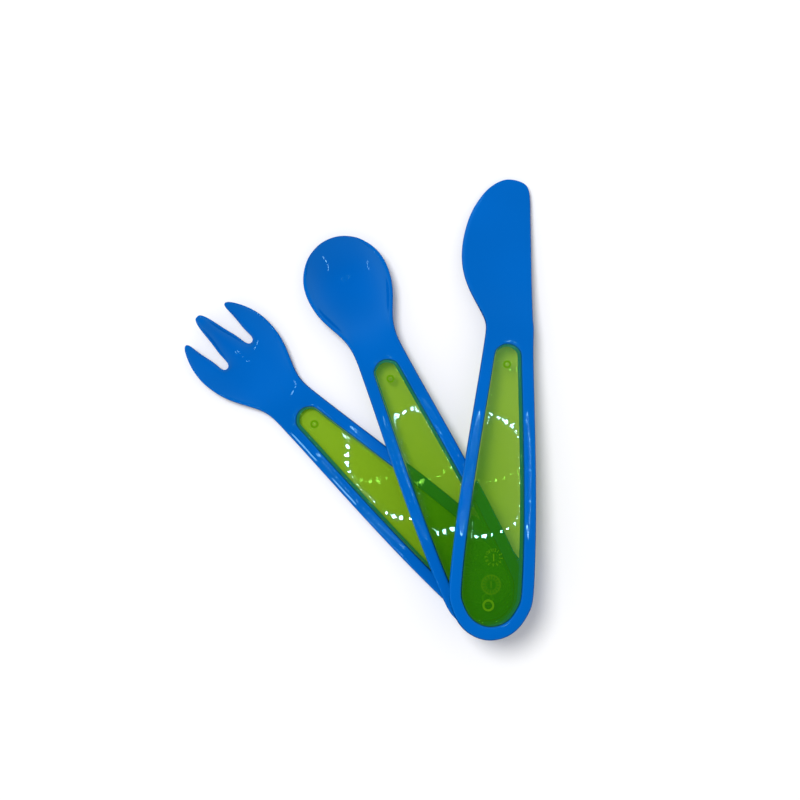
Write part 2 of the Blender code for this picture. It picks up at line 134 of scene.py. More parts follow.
def linear(code):
    """An sRGB hex colour as linear red, green and blue."""
    shares = [int(code[k : k + 2], 16) / 255 for k in (1, 3, 5)]
    return tuple(s / 12.92 if s <= 0.04045 else ((s + 0.055) / 1.055) ** 2.4 for s in shares)


def size(name, description, millimetres):
    """A length that a user can change, given here in millimetres."""
    return FloatProperty(
        name=name, description=description, default=millimetres * MM, unit="LENGTH", precision=4
    )


def place(name, description, millimetres):
    """A point that a user can change, given here in millimetres."""
    return FloatVectorProperty(
        name=name,
        description=description,
        default=[value * MM for value in millimetres],
        subtype="TRANSLATION",
        unit="LENGTH",
        precision=4,
    )


def angle(name, description, degrees):
    """An angle that a user can change, given here in degrees."""
    return FloatProperty(
        name=name, description=description, default=math.radians(degrees), subtype="ANGLE"
    )


def number(name, description, value):
    """A plain number that a user can change."""
    return FloatProperty(name=name, description=description, default=value, min=0)


def colour(name, description, code):
    """A colour that a user can change, given here as sRGB hex."""
    return FloatVectorProperty(
        name=name, description=description, default=linear(code), subtype="COLOR", min=0, max=1
    )


class CutleryHandle(PropertyGroup):
    """The handle, which the three utensils share."""

    length: size("Length", "From the butt's end to the neck", 98.3)
    width: size("Width", "At the widest place, near the butt", 26.4)
    neck_width: size("Neck width", "Where the head begins", 15.2)
    butt_length: size("Butt length", "From the butt's end to the widest place", 15.5)
    neck_thickness: size("Neck thickness", "The thin end of the handle's wedge", 3.9)
    butt_thickness: size("Butt thickness", "The thick end of the handle's wedge", 5.8)
    edge_round: size("Edge rounding", "How far in from its edge a body is rounded", 1.0)
    rim_step: size("Rim step", "From the rim's round edge to its crown", 0.35)
    crown: size("Crown", "How far the rim's edges lie below its middle", 0.055)
    lip_width: size("Lip width", "The slope inside a head's lip", 0.6)
    lip_ease: size("Lip ease", "How far from the neck that slope takes to open", 8.0)
    rim_width: size("Rim width", "Between the handle's edge and its window", 3.9)
    butt_rim: size("Butt rim", "The rim at the butt's end", 4.3)
    neck_bridge: size("Neck bridge", "From the window's top to the neck", 5.0)
    tongue_width: size("Tongue width", "How far the tongue stands out into the grip", 0.8)
    tongue_thickness: size("Tongue thickness", "The tongue's height", 1.1)
    tongue_height: size("Tongue height", "From the underside to the tongue", 1.3)
    grip_recess: size("Grip recess", "How far the grip's top lies below the rim's", 0.2)
    grip_edge: size("Grip edge", "How far in from its edge the grip is rounded", 0.5)
    grip_bite: size("Grip bite", "How far the grip is melted into the body round it", 0.03)
    smoothing: IntProperty(
        name="Smoothing", description="Times that each face is divided", default=3, min=1, max=4
    )


class CutleryKnife(PropertyGroup):
    """The knife's blade, and how the knife lies in the fan."""

    length: size("Length", "From the neck to the tip", 48.3)
    belly_reach: size("Belly reach", "From the middle line to the belly's widest place", 17.05)
    belly_place: size("Belly place", "From the neck to the belly's widest place", 24.2)
    spine_length: size("Spine length", "From the neck to the spine's end", 39.8)
    spine_reach: size("Spine reach", "From the middle line to the spine's end", 3.75)
    tip_reach: size("Tip reach", "From the middle line to the tip, less than 0 on the left", -2.9)
    thickness: size("Thickness", "The blade's own thickness", 2.2)
    ease: size("Ease", "How far the blade takes to thin from the neck", 14.0)
    cutting_edge: size("Cutting edge", "The belly's thickness along its edge", 1.2)
    tongue_shift: size("Tongue shift", "How far the tongue's opening sits to the right", -0.35)
    butt: place("Butt", "Where the underside of the butt's end lies", (40.217, -72.898, 17.046))
    turn: angle("Turn", "The knife's turn in the fan", -4.5)
    pitch: angle("Pitch", "How steeply the knife leans down towards its head", 7.02)


class CutlerySpoon(PropertyGroup):
    """The spoon's bowl, and how the spoon lies in the fan."""

    length: size("Length", "From the neck to the bowl's end", 37.4)
    width: size("Width", "Across the bowl", 27.5)
    widest: size("Widest place", "From the neck to where the bowl is widest", 22.8)
    depth: size("Depth", "How deep the bowl is", 4.9)
    flatness: number("Flatness", "2 is round, more is flatter", 3.2)
    wall: size("Wall", "The bowl's wall thickness", 1.7)
    lip_height: size("Lip height", "How far the lip stands above the bowl", 0.3)
    dish_start: size("Dish start", "From the neck to where the bowl begins to sink", 3.0)
    wall_ease: size("Wall ease", "How far the wall takes to thin from the neck", 10.0)
    tongue_shift: size("Tongue shift", "How far the tongue's opening sits to the right", -0.25)
    butt: place("Butt", "Where the underside of the butt's end lies", (45.533, -70.593, 7.6))
    turn: angle("Turn", "The spoon's turn in the fan", 24.1)
    pitch: angle("Pitch", "How steeply the spoon leans down towards its head", 2.418)


class CutleryFork(PropertyGroup):
    """The fork's head and its three tines, and how the fork lies in the fan."""

    length: size("Length", "From the neck to the middle tine's tip", 39.3)
    width: size("Width", "Across the head", 28.6)
    widest: size("Widest place", "From the neck to where the head is widest", 23.1)
    depth: size("Dish", "How deep the head is dished", 2.2)
    flatness: number("Flatness", "2 is round, more is flatter", 3.2)
    wall: size("Wall", "The head's wall thickness", 1.9)
    lip_height: size("Lip height", "How far the lip stands above the dish", 0.35)
    dish_start: size("Dish start", "From the neck to where the head begins to sink", 3.0)
    wall_ease: size("Wall ease", "How far the wall takes to thin from the neck", 10.0)
    slot_start: size("Slot start", "From the neck to the slots", 21.9)
    slot_inner: size("Slot, inner side", "From the middle line to a slot's near side", 4.7)
    slot_outer: size("Slot, outer side", "From the middle line to a slot's far side", 6.8)
    middle_reach: size("Middle tine", "From the neck to where its round tip begins", 36.6)
    middle_half: size("Middle tine's half width", "Where its round tip begins", 2.05)
    tip_half: size("Tip's half width", "The middle tine's tip", 1.05)
    tip_drop: size("Tip's drop", "How far the tip's corners lie back", 0.35)
    tine_tip: size("Outer tines", "From the neck to their tips", 35.3)
    tine_reach: size("Outer tines' reach", "From the middle line to their tips", 9.4)
    tine_half: size("Outer tines' half width", "At their tips", 0.85)
    tine_lift: size("Tine lift", "How far the tines rise", 2.0)
    lift_start: size("Lift start", "From the neck to where the tines begin to rise", 14.0)
    tine_rim: size("Tine rim", "How far the slots' edges stand up", 0.6)
    tine_round: size("Tine rounding", "How far in from their edges the tines are rounded", 0.5)
    round_start: size("Rounding change", "From the neck to where the edge begins to sharpen", 12.0)
    round_ease: size("Rounding ease", "How far that change takes", 12.0)
    tine_step: size("Tine step", "The slope inside the tines' rims", 0.45)
    tip_step: size("Tip step", "That slope at the outer tines' tips", 0.12)
    tip_start: size("Tip start", "From the neck to where it begins to narrow", 28.0)
    tip_ease: size("Tip ease", "How far it takes to narrow", 6.0)
    groove: size("Groove", "How deep the hollow along the middle tine is", 1.2)
    groove_start: size("Groove start", "From the neck to where the hollow begins", 10.0)
    groove_ease: size("Groove ease", "How far it takes to deepen", 12.0)
    groove_end: size("Groove end", "From the neck to where the hollow ends", 36.0)
    groove_close: size("Groove close", "How far it takes to end", 4.0)
    tongue_shift: size("Tongue shift", "How far the tongue's opening sits to the right", 0.25)
    butt: place("Butt", "Where the underside of the butt's end lies", (49.699, -64.536, 0.0))
    turn: angle("Turn", "The fork's turn in the fan", 47.4)
    pitch: angle("Pitch", "The fork lies flat", 0.0)


class CutleryMarks(PropertyGroup):
    """The marks that the mould leaves in the underside of each grip."""

    depth: size("Depth", "How far the marks reach into the grip", 0.12)
    cover: size("Cover", "The clear skin between the marks and the underside", 0.02)
    line: size("Line", "The thickness of a dial's strokes", 0.35)
    neck_ring: place("Neck ring", "The ejector's ring near the neck", (0.0, 87.1, 0.0))
    neck_ring_radius: size("Neck ring's radius", "Outside", 1.3)
    butt_ring: place("Butt ring", "The ejector's ring near the butt", (-0.5, 10.8, 0.0))
    butt_ring_radius: size("Butt ring's radius", "Outside", 1.85)
    ring_width: size("Ring width", "Both rings' width", 0.65)
    month_dial: place("Month dial", "The dial with numbers", (0.1, 25.8, 0.0))
    month_radius: size("Month dial's radius", "To the middle of its numbers", 2.3)
    month_height: size("Number height", "The height of its numbers", 1.0)
    year_dial: place("Year dial", "The dial with strokes", (-0.1, 17.3, 0.0))
    year_radius: size("Year dial's radius", "Outside", 3.1)
    arrow: size("Arrow", "The length of the dials' arrows", 2.2)


class CutleryFinish(PropertyGroup):
    """The colours of the two plastics, and how clear the green one is."""

    body: colour("Body", "The opaque blue", "#0062be")
    body_deep: colour("Body, deep", "The blue where the colour is a little denser", "#005eb6")
    haze: colour("Haze", "The green that the grip scatters back", "#51c30a")
    tint: colour("Tint", "The green that the grip lets through", "#dfe984")
    passing: colour("Passing light", "The tint of lamp light that leaves the grip", "#f5f8cb")
    haze_share: number("Haze share", "How much of the grip's surface scatters light", 0.16)
    density: number("Density", "How fast the tint deepens through the grip, per metre", 420.0)
    mark: colour("Mark", "The frosted surface of the mould's marks", "#a5c86a")
    mark_cover: number("Mark cover", "How much light the crisp marks stop", 0.9)
    faint_cover: number("Faint mark cover", "How much light the year dial stops", 0.35)


class CutleryStudio(PropertyGroup):
    """The camera, the floor and the lamps."""

    camera: place("Camera", "Straight above the middle of the picture", (13.029, 2.163, 600.0))
    view_width: size("View width", "How much of the floor the picture shows", 257.075)
    floor: colour("Floor", "Matte white", "#fafafa")
    floor_gap: size("Floor gap", "How far the floor lies below the underside", 0.05)
    floor_radius: size("Floor radius", "From the middle of the pack", 3000.0)
    key_lamp: place("Key softbox", "The lamp that casts the shadows", (-520.0, 520.0, 1930.0))
    key_width: size("Key width", "The key softbox's diameter", 800.0)
    key_power: number("Key power", "In watts", 27.0)
    fill: number("Fill", "The even light from all sides", 0.56)
    tent: colour("Tent", "The tint of the tent as it is mirrored", "#80e0ff")
    tent_wall: number("Tent wall", "Mirrored above the horizon", 1.0)
    tent_top: number("Tent top", "Mirrored overhead", 0.03)
    knife_ring: place("Knife's ring", "The lamps that glint in the knife", (74.0, 124.0, 600.0))
    spoon_ring: place("Spoon's ring", "The lamps that glint in the spoon", (1.1, 24.2, 600.0))
    fork_ring: place("Fork's ring", "The lamps that glint in the fork", (2.5, -17.4, 600.0))
    spoon_right: place("Spoon's right arc", "Lamps that glint in the bowl", (346.0, -193.0, 542.0))
    spoon_left: place("Spoon's left arc", "Lamps that glint in the bowl", (-515.0, -201.0, 391.0))
    fork_root: place("Fork's root arc", "Lamps that glint by the tines", (-156.0, -110.0, 571.0))
    fork_neck: place("Fork's neck arc", "Lamps that glint on the neck", (-170.0, 61.0, 578.0))
    ring_radius: size("Ring radius", "To the middle of its small lamps", 40.4)
    ring_lamp: size("Ring's lamps", "Each small lamp's diameter", 2.3)
    arc_radius: size("Arc radius", "To the middle of an arc's lamps", 85.0)
    arc_lamp: size("Arc's lamps", "Each lamp's diameter in an arc", 25.0)
    arc_count: IntProperty(name="Arc count", description="Lamps in an arc", default=5)
    arc_step: angle("Arc step", "From one lamp to the next", 26.0)
    arc_glow: number("Arc glow", "How bright an arc's lamps are", 11)
    ring_light: colour("Ring's light", "Cool white", "#a8ecff")
    ring_count: IntProperty(name="Ring count", description="Lamps in a ring", default=48)
    ring_glow: number("Ring glow", "How bright the lamps over the grips are", 90)
    knife_rim_glow: number("Knife's glow", "How bright those over its body are", 90)
    spoon_rim_glow: number("Spoon's glow", "How bright those over its body are", 22)
    fork_rim_glow: number("Fork's glow", "How bright those over its body are", 60)


def settings(group):
    """The user's values of one group."""
    return getattr(bpy.context.scene, "cutlery_" + group)


def curve(start, end, bends):
    """A cubic Bezier curve from its two ends and how it leaves each of them."""
    start, end, bends = np.array(start, float), np.array(end, float), np.array(bends) * MM
    return start, start + bends[0], end + bends[1], end


def along(bezier, t):
    """The point of a curve at t, from 0 to 1."""
    p0, p1, p2, p3 = bezier
    s = 1 - t
    return s**3 * p0 + 3 * s * s * t * p1 + 3 * s * t * t * p2 + t**3 * p3


def heading(bezier, t):
    """The direction of a curve at t."""
    p0, p1, p2, p3 = bezier
    s = 1 - t
    slope = s * s * (p1 - p0) + 2 * s * t * (p2 - p1) + t * t * (p3 - p2)
    return slope / np.linalg.norm(slope)


def at_station(bezier, y):
    """The point where a curve that runs along the utensil crosses the station y."""
    samples = [along(bezier, t) for t in np.linspace(0, 1, CURVE_SAMPLES)]
    across, stations = zip(*sorted(samples, key=lambda point: point[1]))
    return np.array((np.interp(y, stations, across), y))


def ease(value):
    """A smooth step from 0 to 1."""
    value = min(max(value, 0.0), 1.0)
    return value * value * (3 - 2 * value)


def between(start, end, share):
    """What lies a share of the way from start to end."""
    return start + (end - start) * share


def quarter(wide, end, degrees):
    """A point of a quarter oval, from its widest place, at 0 degrees, to its end at 90."""
    turn = math.radians(degrees)
    return np.array((wide[0] * math.cos(turn), wide[1] + (end - wide[1]) * math.sin(turn)))


def mirrored(half):
    """A closed loop from its right half, which starts and ends on the middle line."""
    return list(half) + [point * (-1, 1) for point in half[-2:0:-1]]


def spread(left, right, shares):
    """A row of points from the left edge, share -1, to the right edge, share 1."""
    return [between(left, right, (share + 1) / 2) for share in shares]


def handle_side():
    """The handle's right edge, from the neck to its widest place."""
    handle = settings("handle")
    start = (handle.neck_width / 2, handle.length)
    return curve(start, (handle.width / 2, handle.butt_length), SIDE_BENDS)


def handle_loop():
    """The handle's outline, from the middle of the neck down its right side and round."""
    handle = settings("handle")
    half = handle.neck_width / 2
    neck = [np.array((half * share, handle.length)) for share in EVEN[NECK_COLUMNS:]]
    side = [along(handle_side(), k / SIDE_COLUMNS) for k in range(1, SIDE_COLUMNS + 1)]
    wide = (handle.width / 2, handle.butt_length)
    butt = [quarter(wide, 0, 90 * k / BUTT_COLUMNS) for k in range(1, BUTT_COLUMNS + 1)]
    return mirrored(neck + side + butt)


def window_side(t):
    """A point of the window's right edge, one rim inside the handle's edge."""
    direction = heading(handle_side(), t)
    step = np.array((direction[1], -direction[0])) * settings("handle").rim_width
    return along(handle_side(), t) + step


def window_loop():
    """The window's outline, point for point beside the handle's."""
    handle = settings("handle")
    # A round top that starts level with a point of the side ends at that point's x plus its y,
    # which falls along the side
    steps = np.linspace(1, 0, CURVE_SAMPLES)
    ends = [sum(window_side(t)) for t in steps]
    start = float(np.interp(handle.length - handle.neck_bridge, ends, steps))
    radius, centre = window_side(start)
    turns = [90 * (1 - k / ROUND_STEPS) for k in range(NECK_COLUMNS + 1)]
    top = [quarter((radius, centre), centre + radius, turn) for turn in turns]
    shares = [(k - SIDE_SLIDE) / (SIDE_COLUMNS - SIDE_SLIDE) for k in range(1, SIDE_COLUMNS + 1)]
    side = [window_side(start + (1 - start) * share) for share in shares]
    wide = (handle.width / 2 - handle.rim_width, handle.butt_length)
    end = handle.butt_rim
    butt = [quarter(wide, end, 90 * k / BUTT_COLUMNS) for k in range(1, BUTT_COLUMNS + 1)]
    return mirrored(top + side + butt)


def through(loop):
    """Control points whose smoothed closed curve passes through the loop's points.

    Smoothing puts a point at four sixths of its control point and a sixth of each neighbour.
    """
    count = len(loop)
    weights = np.zeros((count, count))
    for k in range(count):
        weights[k, k] = 4 / 6
        weights[k, (k + 1) % count] = 1 / 6
        weights[k, k - 1] = 1 / 6
    return list(np.linalg.solve(weights, np.array(loop)))


def inwards(loop, distance):
    """A loop's points moved towards its own middle."""
    pairs = [(loop[k - 1], point) for k, point in enumerate(loop)]
    area = sum(before[0] * point[1] - point[0] * before[1] for before, point in pairs)
    side = -distance if area > 0 else distance
    moved = []
    for k, point in enumerate(loop):
        step = loop[(k + 1) % len(loop)] - loop[k - 1]
        moved.append(point + side * np.array((step[1], -step[0])) / np.linalg.norm(step))
    return moved


def handle_thickness(y):
    """The handle is a slight wedge, thickest at the butt."""
    handle = settings("handle")
    share = min(max(y / handle.length, 0.0), 1.0)
    return between(handle.butt_thickness, handle.neck_thickness, share)


def crown_drop(row):
    """How far a row of a body's top lies below the middle of its gently domed rim."""
    return settings("handle").crown * (2 - row) / 2


def flat_ring(net, loop):
    """A closed ring of edges through the loop's points; its first vertex ends the list too."""
    ring = bmesh.ops.create_circle(net, segments=len(loop), radius=1.0)["verts"]
    for vertex, point in zip(ring, loop):
        vertex.co.xy = point
    return ring + ring[:1]


def extruded(net, row, points):
    """Extrude the edges along a row of vertices, and move the new row to the points."""
    edges = [net.edges.get(pair) for pair in zip(row, row[1:])]
    made = set(bmesh.ops.extrude_edge_only(net, edges=edges)["geom"])
    following = []
    for vertex, point in zip(row, points):
        others = [edge.other_vert(vertex) for edge in vertex.link_edges]
        following.append(next(other for other in others if other in made))
        following[-1].co = (*point, 0.0) if len(point) == 2 else point
    return following


def handle_net():
    """A flat net of the handle's rim, and its vertices across the neck."""
    net = bmesh.new()
    ring = flat_ring(net, handle_loop())
    inner = window_loop()
    extruded(net, ring, inner + inner[:1])
    return net, ring[-NECK_COLUMNS - 1 : -1] + ring[: NECK_COLUMNS + 1]


def knife_rows():
    """Rows of points across the blade, and one round its end."""
    handle, knife = settings("handle"), settings("knife")
    base, half = handle.length, handle.neck_width / 2
    wide = (-knife.belly_reach, base + knife.belly_place)
    tip = (knife.tip_reach, base + knife.length)
    back = (knife.spine_reach, base + knife.spine_length)
    belly = curve((-half, base), wide, BELLY_BENDS)
    nose = curve(wide, tip, NOSE_BENDS)
    corner = curve(tip, back, CORNER_BENDS)
    spine = curve((half, base), back, SPINE_BENDS)
    left = [along(belly, k / HEAD_ROWS) for k in range(1, HEAD_ROWS + 1)]
    left += [along(nose, t) for t in NOSE_ROWS]
    rows = []
    for k, point in enumerate(left, 1):
        level = min(point[1], base + knife.spine_length * k / (len(left) + 1))
        rows.append(spread(point, at_station(spine, level), EVEN))
    end = [along(nose, t) for t in NOSE_END]
    end += [along(corner, k / NECK_COLUMNS) for k in range(1, NECK_COLUMNS + 1)]
    return rows + [end]


def spoon_rows():
    """Rows of points across the bowl, and one round its end."""
    handle, spoon = settings("handle"), settings("spoon")
    wide = (spoon.width / 2, handle.length + spoon.widest)
    tip = handle.length + spoon.length
    side = head_side(spoon, BOWL_BENDS)
    edge = [along(side, k / HEAD_ROWS) for k in range(1, HEAD_ROWS + 1)]
    edge.append(quarter(wide, tip, BOWL_SHOULDER))
    rows = [spread(point * (-1, 1), point, EVEN) for point in edge]
    end = [quarter(wide, tip, turn) for turn in BOWL_END]
    return rows + [[point * (-1, 1) for point in end[:NECK_COLUMNS]] + end[NECK_COLUMNS:]]


def fork_rows():
    """Rows of points across the fork's head, as far as the ends of its two slots."""
    handle, fork = settings("handle"), settings("fork")
    side = head_side(fork, FORK_BENDS)
    third, two_thirds = EVEN[-NECK_COLUMNS:-1]
    rows = []
    for progress in [k / HEAD_ROWS for k in range(1, HEAD_ROWS + 1)]:
        edge = at_station(side, handle.length + fork.slot_start * progress)
        inner = between(third, fork.slot_inner / edge[0], progress)
        outer = between(two_thirds, fork.slot_outer / edge[0], progress)
        rows.append(spread(edge * (-1, 1), edge, (-1, -outer, -inner, 0, inner, outer, 1)))
    return rows


def tine_rows():
    """Rows of points along the left, the middle and the right tine."""
    handle, fork = settings("handle"), settings("fork")
    base = handle.length
    shares = [k / TINE_ROWS for k in range(1, TINE_ROWS + 1)]
    middle = []
    for share in shares:
        half = between(fork.slot_inner, fork.middle_half, share)
        level = base + between(fork.slot_start, fork.middle_reach, share)
        middle.append([np.array((half * side, level)) for side in (-1, 0, 1)])
    tip = base + fork.length
    corner = np.array((fork.tip_half, tip - fork.tip_drop))
    middle.append([corner * (-1, 1), np.array((0.0, tip)), corner])
    wide = (fork.width / 2, base + fork.widest)
    outer = curve(wide, (fork.tine_reach + fork.tine_half, base + fork.tine_tip), TINE_BENDS)
    right = []
    for share in shares:
        inner = between(fork.slot_outer, fork.tine_reach - fork.tine_half, share)
        level = base + between(fork.slot_start, fork.tine_tip, share)
        right.append([np.array((inner, level)), at_station(outer, level)])
    left = [[point * (-1, 1) for point in reversed(row)] for row in right]
    return left, middle, right


def boundary_loops(net):
    """The net's outlines, each as a list of vertices in order."""
    open_edges = [edge for edge in net.edges if edge.is_boundary]
    loops = []
    while open_edges:
        start, vertex = open_edges.pop(0).verts
        loop = [start]
        while vertex is not start:
            loop.append(vertex)
            edge = next(item for item in open_edges if vertex in item.verts)
            open_edges.remove(edge)
            vertex = edge.other_vert(vertex)
        loops.append(loop)
    return loops


def settle_outlines(net):
    """Move the outlines' vertices so that the smoothed outlines pass where they were."""
    for loop in boundary_loops(net):
        control = through([np.array(vertex.co.xy) for vertex in loop])
        for vertex, spot in zip(loop, control):
            vertex.co.xy = spot


def add_edge_row(net, width):
    """A row of faces inside every outline; width(point) is how wide it is. Gives its vertices.

    All the faces are first set in by one small width, and then each vertex by its own.
    """
    outline = {vertex for loop in boundary_loops(net) for vertex in loop}
    thin = settings("fork").tine_round
    bmesh.ops.inset_region(
        net, faces=net.faces[:], thickness=thin, use_boundary=True, use_even_offset=True
    )
    row = set()
    for vertex in outline:
        for edge in vertex.link_edges:
            other = edge.other_vert(vertex)
            if other not in outline:
                other.co = vertex.co + (other.co - vertex.co) * width(vertex.co) / thin
                row.add(other)
    return row


def close_shell(net, heights, wall, lip=()):
    """Double the flat net into an underside and a top, and join their outlines with walls.

    heights(point, row) gives the underside and the top at a point of the net, whose row is 0 on
    an outline, 1 on the lip beside it and 2 inside. wall(flat, lows, highs) gives the rows of
    points up a wall, each with whether it is a sharp edge.
    """
    loops = boundary_loops(net)
    rows = {vertex: 2 for vertex in net.verts}
    rows.update({vertex: 1 for vertex in lip})
    rows.update({vertex: 0 for loop in loops for vertex in loop})
    span = {vertex: heights(vertex.co, row) for vertex, row in rows.items()}
    copied = bmesh.ops.duplicate(net, geom=net.verts[:] + net.edges[:] + net.faces[:])
    upper = copied["vert_map"]
    for vertex, (low, high) in span.items():
        vertex.co.z = low
        upper[vertex].co.z = high
    crease = net.edges.layers.float.new("crease_edge")
    for loop in loops:
        flat = [np.array(vertex.co.xy) for vertex in loop]
        lows, highs = zip(*(span[vertex] for vertex in loop))
        row = loop + loop[:1]
        for points, sharp in wall(flat, lows, highs):
            row = extruded(net, row, points + points[:1])
            for pair in zip(row, row[1:]):
                net.edges.get(pair)[crease] = float(sharp)
        top = [upper[vertex] for vertex in loop]
        last = extruded(net, row, [vertex.co.copy() for vertex in top + top[:1]])
        bmesh.ops.weld_verts(net, targetmap=dict(zip(last, top)))
    bmesh.ops.recalc_face_normals(net, faces=net.faces[:])


def at_height(flat, height):
    """An outline's points lifted to one height."""
    return [(point[0], point[1], height) for point in flat]


def stepped_wall(flat, bottom, top, shift):
    """Sharp rows up a wall that steps in by a tongue's width between two heights."""
    inner = inwards(flat, settings("handle").tongue_width)
    inner = [point + np.array((shift, 0.0)) for point in inner]
    steps = (flat, bottom), (inner, bottom), (inner, top), (flat, top)
    return [(at_height(outline, height), True) for outline, height in steps]


def body_wall(shift):
    """What gives the rows up a body's walls: plain outside, and with a tongue in the window."""
    handle = settings("handle")
    bottom = handle.tongue_height

    def rows(flat, lows, highs):
        if max(point[1] for point in flat) < handle.length:
            return stepped_wall(flat, bottom, bottom + handle.tongue_thickness, shift)
        middle = [(*point, (low + high) / 2) for point, low, high in zip(flat, lows, highs)]
        return [(middle, False)]

    return rows


def grip_wall(shift):
    """What gives the rows up a grip's wall, with a groove that bites on the body's tongue."""
    handle = settings("handle")
    bottom = handle.tongue_height + handle.grip_bite
    top = handle.tongue_height + handle.tongue_thickness - handle.grip_bite

    def rows(flat, lows, highs):
        return stepped_wall(flat, bottom, top, shift)

    return rows


def grip_heights(point, row):
    """A grip's underside, flush with the body's, and its top, just below the rim's."""
    return 0.0, handle_thickness(point.y) - settings("handle").grip_recess


def knife_heights(point, row):
    """The knife's underside and top: the wedge, and then a thin blade at its middle height."""
    handle, knife = settings("handle"), settings("knife")
    thickness = handle_thickness(point.y)
    middle = handle.neck_thickness / 2
    share = ease((point.y - handle.length) / knife.ease)
    half = (knife.cutting_edge if row == 0 and point.x < 0 else knife.thickness) / 2
    top = between(thickness, middle + half, share)
    return (middle - half) * share, top - crown_drop(row)


def dish(x, station, half_width, end, head):
    """How far a dished head lies below its lip."""
    share = (station - head.dish_start) / (end - head.dish_start)
    if not 0 < share < 1:
        return 0.0
    share = share**DISH_SKEW
    across = 1 - min(abs(x) / half_width, 1.0) ** head.flatness
    return head.depth * (4 * share * (1 - share)) ** (2 / head.flatness) * across


def head_wall(station, head):
    """A dished head's wall, which thins from the neck's."""
    return between(settings("handle").neck_thickness, head.wall, ease(station / head.wall_ease))


def head_side(head, bends):
    """A dished head's right edge, from the neck to its widest place."""
    handle = settings("handle")
    wide = (head.width / 2, handle.length + head.widest)
    return curve((handle.neck_width / 2, handle.length), wide, bends)


def head_half_width(station, head, bends):
    """Half the width of a dished head, inside its round edge, as far as its widest place."""
    handle = settings("handle")
    level = handle.length + min(station, head.widest)
    return at_station(head_side(head, bends), level)[0] - handle.edge_round


def lip_drop(station, head):
    """How far a dished head steps down inside its lip."""
    return head.lip_height * ease((station - head.dish_start) / head.wall_ease)


def spoon_heights(point, row):
    """The spoon's underside and top: the wedge, and then a thin-walled bowl."""
    handle, spoon = settings("handle"), settings("spoon")
    station = point.y - handle.length
    if station <= 0:
        return 0.0, handle_thickness(point.y) - crown_drop(row)
    half_width = head_half_width(station, spoon, BOWL_BENDS)
    if station > spoon.widest:
        share = (station - spoon.widest) / (spoon.length - spoon.widest)
        half_width = max(half_width * math.sqrt(max(1 - share**2, 0.0)), MM)
    end = spoon.length - handle.edge_round
    depth = dish(point.x, station, half_width, end, spoon) if row else 0.0
    underside = handle.neck_thickness - depth - head_wall(station, spoon)
    step = lip_drop(station, spoon) if row == 2 else 0.0
    return underside, handle.neck_thickness - depth - step - crown_drop(row)


def fork_hollow(point, station):
    """How far the hollow along the middle tine, and the step inside the lip, lie below the dish."""
    fork = settings("fork")
    closing = ease((fork.groove_end - station) / fork.groove_close)
    step = lip_drop(station, fork) * closing
    if abs(point.x) > MM:
        return step
    return step + fork.groove * ease((station - fork.groove_start) / fork.groove_ease) * closing


def fork_heights(point, row):
    """The fork's underside and top: the wedge, a shallow dish and tines that rise."""
    handle, fork = settings("handle"), settings("fork")
    station = point.y - handle.length
    if station <= 0:
        return 0.0, handle_thickness(point.y) - crown_drop(row)
    lift = fork.tine_lift * ease((station - fork.lift_start) / (fork.length - fork.lift_start))
    depth = dish(point.x, station, head_half_width(station, fork, FORK_BENDS), fork.tine_tip, fork)
    far_side = (fork.slot_outer + fork.tine_reach) / 2
    in_slot = abs(point.x) < far_side and station > fork.slot_start - MM
    if row == 0:
        depth = depth - fork.tine_rim if in_slot else 0.0
    top = handle.neck_thickness - depth + lift
    underside = top - head_wall(station, fork)
    top -= crown_drop(row)
    if row == 1 and in_slot:
        top += fork.tine_rim
    return underside, top - fork_hollow(point, station) if row == 2 else top


def head_edge(point):
    """The width of the round edge of a handle, a bowl or a blade."""
    return settings("handle").edge_round


def tine_share(station):
    """How far the fork's edge has changed from the handle's, 0, to the tines', 1."""
    fork = settings("fork")
    return ease((station - fork.round_start) / fork.round_ease)


def fork_edge(point):
    """The width of the fork's round edge: full on the handle, small on the tines."""
    handle, fork = settings("handle"), settings("fork")
    return between(handle.edge_round, fork.tine_round, tine_share(point.y - handle.length))


def lip_slope(station):
    """The width of the slope inside a lip, which opens out from the rim's."""
    handle = settings("handle")
    return between(handle.rim_step, handle.lip_width, ease(station / handle.lip_ease))


def head_lip(point):
    """How far in a handle, a bowl or a blade its lip ends."""
    return head_edge(point) + lip_slope(point.y - settings("handle").length)


def fork_lip(point):
    """How far in the fork's lip ends."""
    fork = settings("fork")
    station = point.y - settings("handle").length
    slope = between(lip_slope(station), fork.tine_step, tine_share(station))
    if abs(point.x) > fork.slot_outer:
        slope = between(slope, fork.tip_step, ease((station - fork.tip_start) / fork.tip_ease))
    return fork_edge(point) + slope


def grip_edge(point):
    """The width of a grip's round edge."""
    return settings("handle").grip_edge


def add_node(tree, kind, inputs=None, **values):
    """Add a node with its settings; each input is a value, or another node's output to link."""
    node = tree.nodes.new(kind)
    for name, value in values.items():
        setattr(node, name, value)
    for name, value in (inputs or {}).items():
        if isinstance(value, bpy.types.NodeSocket):
            tree.links.new(value, node.inputs[name])
        else:
            node.inputs[name].default_value = value
    return node


def new_material(name):
    """An empty material and its nodes."""
    material = bpy.data.materials.new(name)
    material.use_nodes = True
    material.node_tree.nodes.clear()
    return material, material.node_tree


def uneven_skin(tree, spacing, height, strength, detail=2.0):
    """The normal of a surface whose unevenness has a spacing and a height, in millimetres."""
    spot = add_node(tree, "ShaderNodeTexCoord").outputs["Object"]
    grain = {"Vector": spot, "Scale": 1 / (spacing * MM), "Detail": detail}
    relief = add_node(tree, "ShaderNodeTexNoise", grain).outputs["Fac"]
    bump = {"Height": relief, "Strength": strength, "Distance": height * MM}
    return add_node(tree, "ShaderNodeBump", bump).outputs["Normal"]


